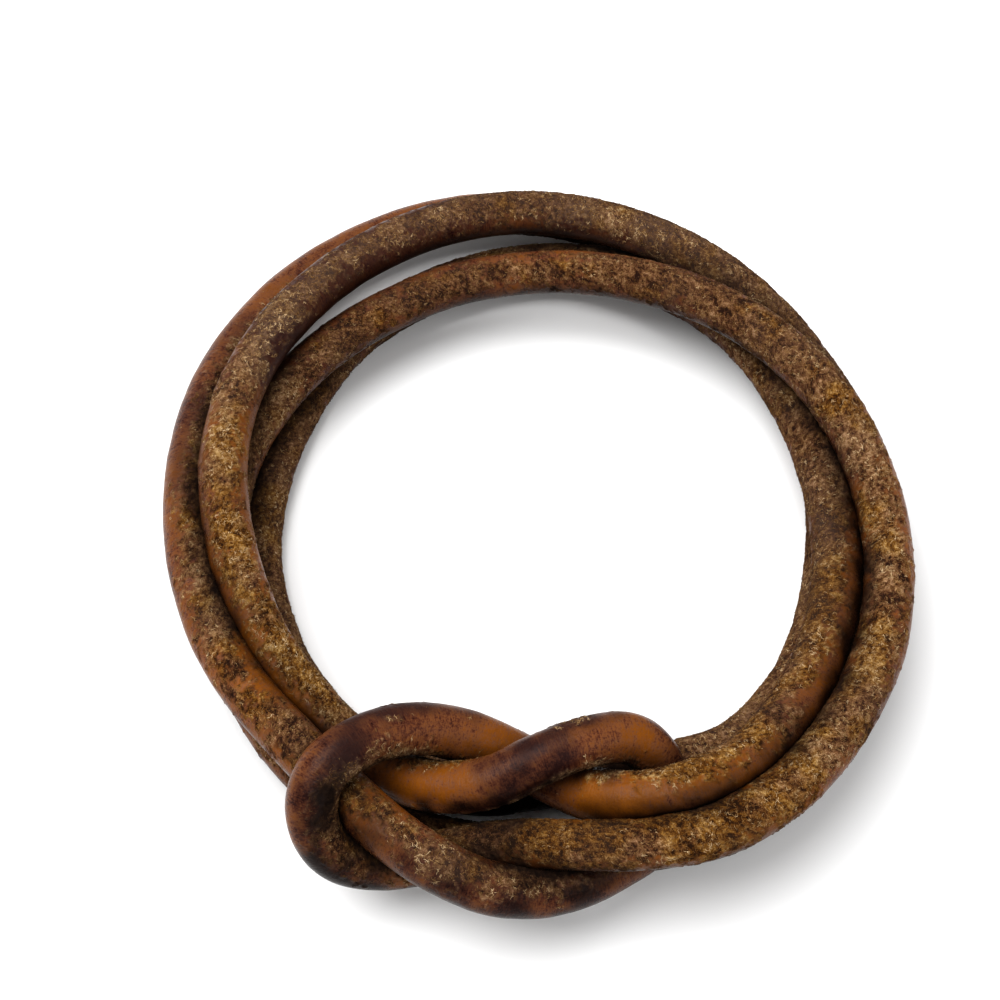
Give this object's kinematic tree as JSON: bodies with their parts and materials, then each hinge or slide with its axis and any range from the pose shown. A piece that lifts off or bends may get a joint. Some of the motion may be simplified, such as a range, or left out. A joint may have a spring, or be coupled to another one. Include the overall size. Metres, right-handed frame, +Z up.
{
  "type": "knotted leather cord strap",
  "caption": "Round leather thong, doubled and wound into a flat coil, its ends tied together with a reef knot at the front.",
  "frame": {"origin": "centre of the coil's bounding box at the level it lies on", "axes": "+Z up, the coil lies flat in the XY plane, and the knot is towards -Y"},
  "size_m": [0.0786, 0.0888, 0.0181],
  "materials": {
    "leather": "rough flesh side with a smooth waxed grain band"
  },
  "bodies": {
    "root": {"inner_turn_left": "leather", "inner_turn_right": "leather", "left_bight": "leather", "middle_turn_left": "leather", "middle_turn_right": "leather", "outer_turn_left": "leather", "outer_turn_right": "leather", "right_bight": "leather", "top_turn_left": "leather", "top_turn_right": "leather", "under_knot_run": "leather"}
  },
  "joints": []
}
